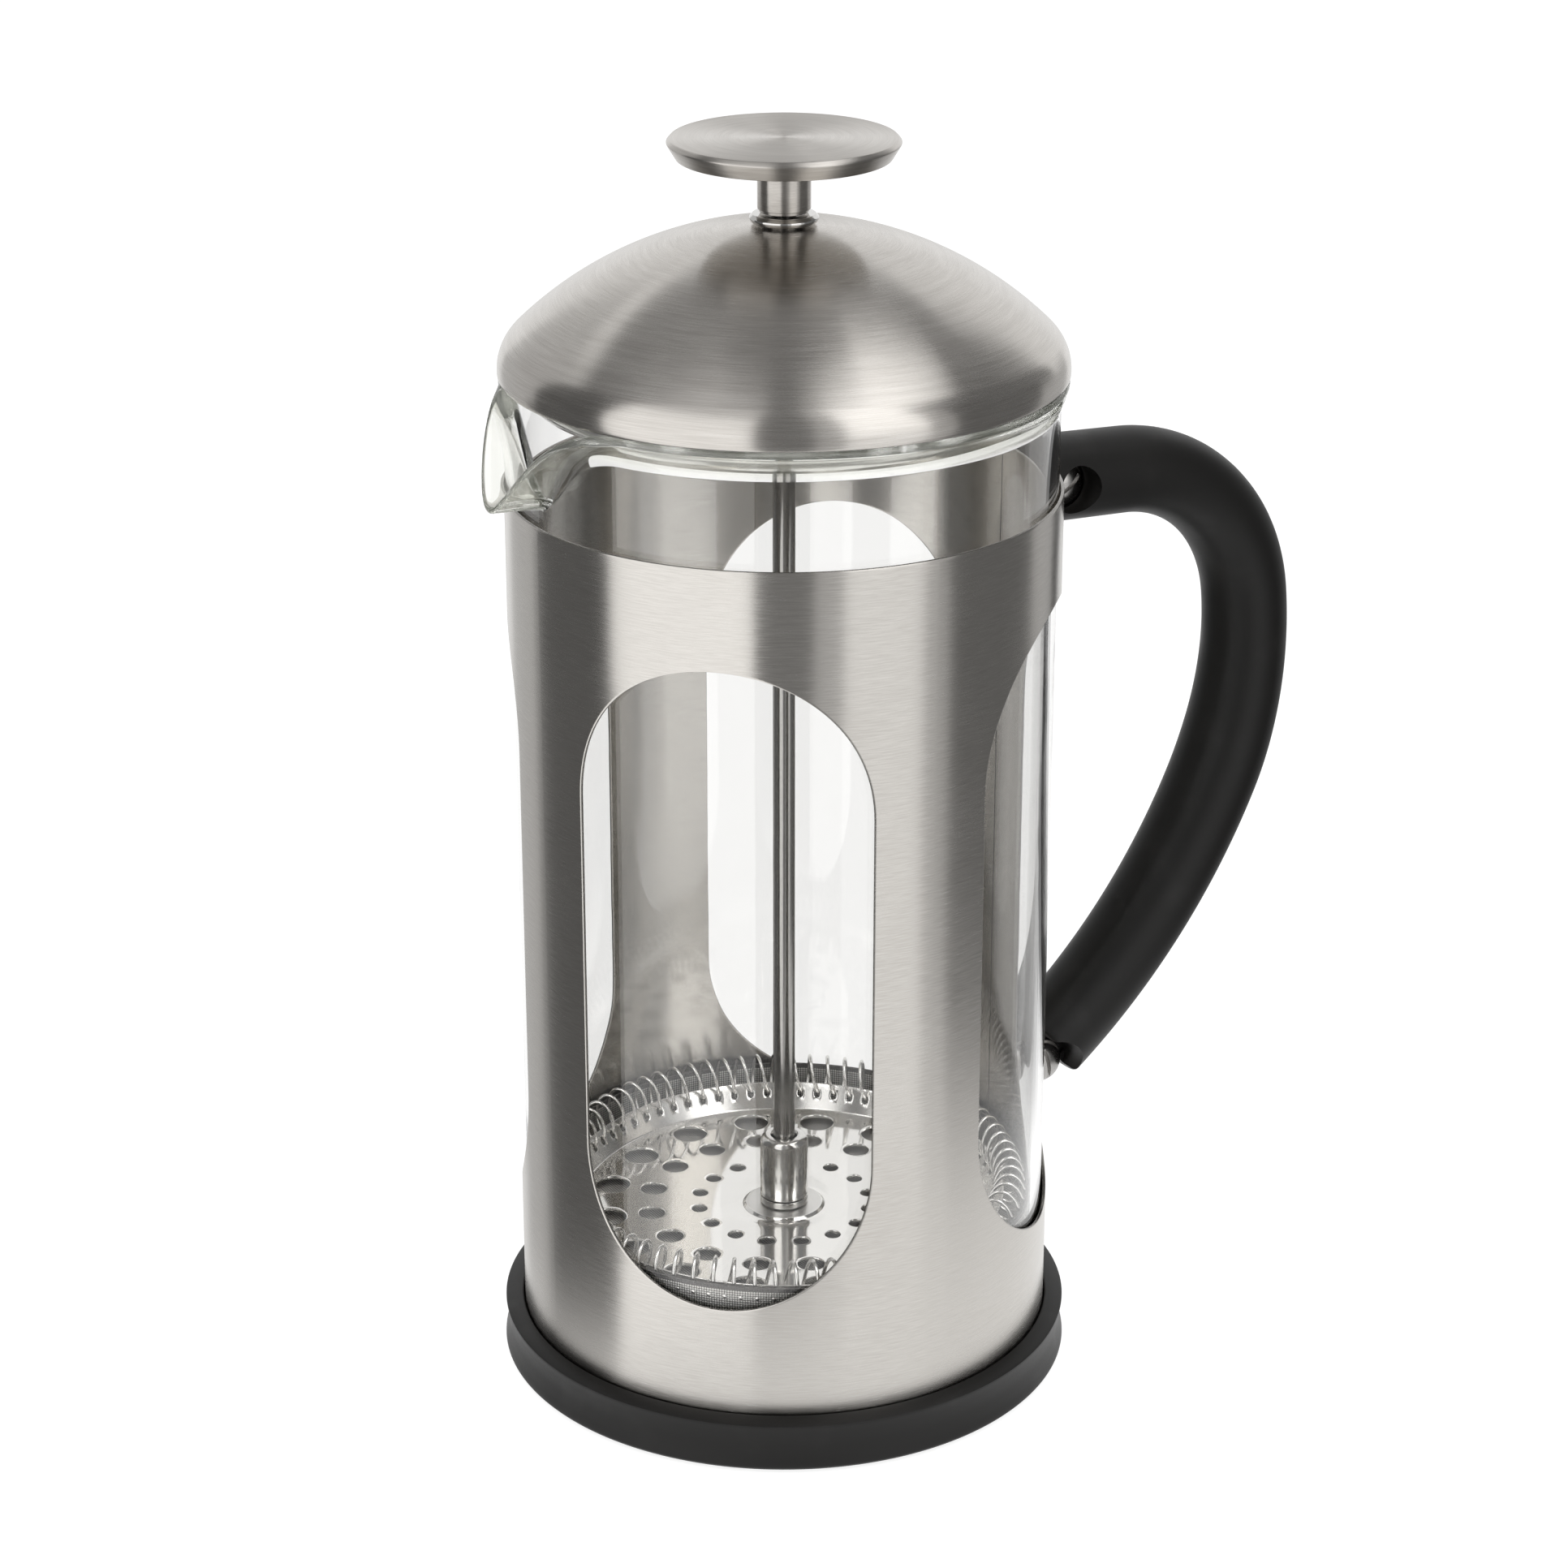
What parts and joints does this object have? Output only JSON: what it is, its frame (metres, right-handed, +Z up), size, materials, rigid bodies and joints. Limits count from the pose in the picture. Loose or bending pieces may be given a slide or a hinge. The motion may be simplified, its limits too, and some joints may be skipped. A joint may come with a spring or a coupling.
{
  "type": "french press",
  "caption": "Glass coffee beaker with a pouring spout in a windowed steel sleeve, with a black foot and arched handle, a domed lid and a plunger with a coil-edged filter.",
  "frame": {"origin": "on the beaker's axis at the foot's flat underside", "axes": "+Z up along the plunger rod, +X towards the handle, spout towards -X"},
  "size_m": [0.1689, 0.105, 0.2277],
  "materials": {
    "black_plastic": "matt moulded, soft sheen",
    "brushed_steel": "brushed round the axis",
    "polished_steel": "polished stainless steel",
    "woven_steel": "fine woven wire",
    "clear_glass": "clear, faint green at the edges"
  },
  "bodies": {
    "pot": {"base_cup": "black_plastic", "frame_sleeve": "brushed_steel", "glass_beaker": "clear_glass", "handle": "black_plastic", "upper_clamp_screw": "polished_steel", "upper_clamp_nut": "polished_steel", "lower_clamp_screw": "polished_steel", "lower_clamp_nut": "polished_steel"},
    "lid": {"lid_dome": "brushed_steel", "lid_skirt": "brushed_steel", "lid_ferrule": "polished_steel", "lid_ferrule_nut": "polished_steel"},
    "filter": {"filter_hub": "polished_steel", "hub_washer": "polished_steel", "perforated_plate": "polished_steel", "coil_spring": "polished_steel", "filter_mesh": "woven_steel", "cross_plate": "polished_steel", "filter_nut": "polished_steel"},
    "plunger": {"plunger_rod": "polished_steel", "knob_neck": "brushed_steel", "knob_disc": "brushed_steel"}
  },
  "joints": [
    {"name": "lid_lift", "type": "slide", "parent": "pot", "child": "lid", "axis": [0, 0, 1], "range_m": [0, 0.2]},
    {"name": "plunger_slide", "type": "slide", "parent": "lid", "child": "filter", "axis": [0, 0, 1], "range_m": [0, 0.141]},
    {"name": "knob_turn", "type": "hinge", "parent": "filter", "child": "plunger", "pos_m": [0, 0, 0.12], "axis": [0, 0, 1], "continuous": true}
  ]
}
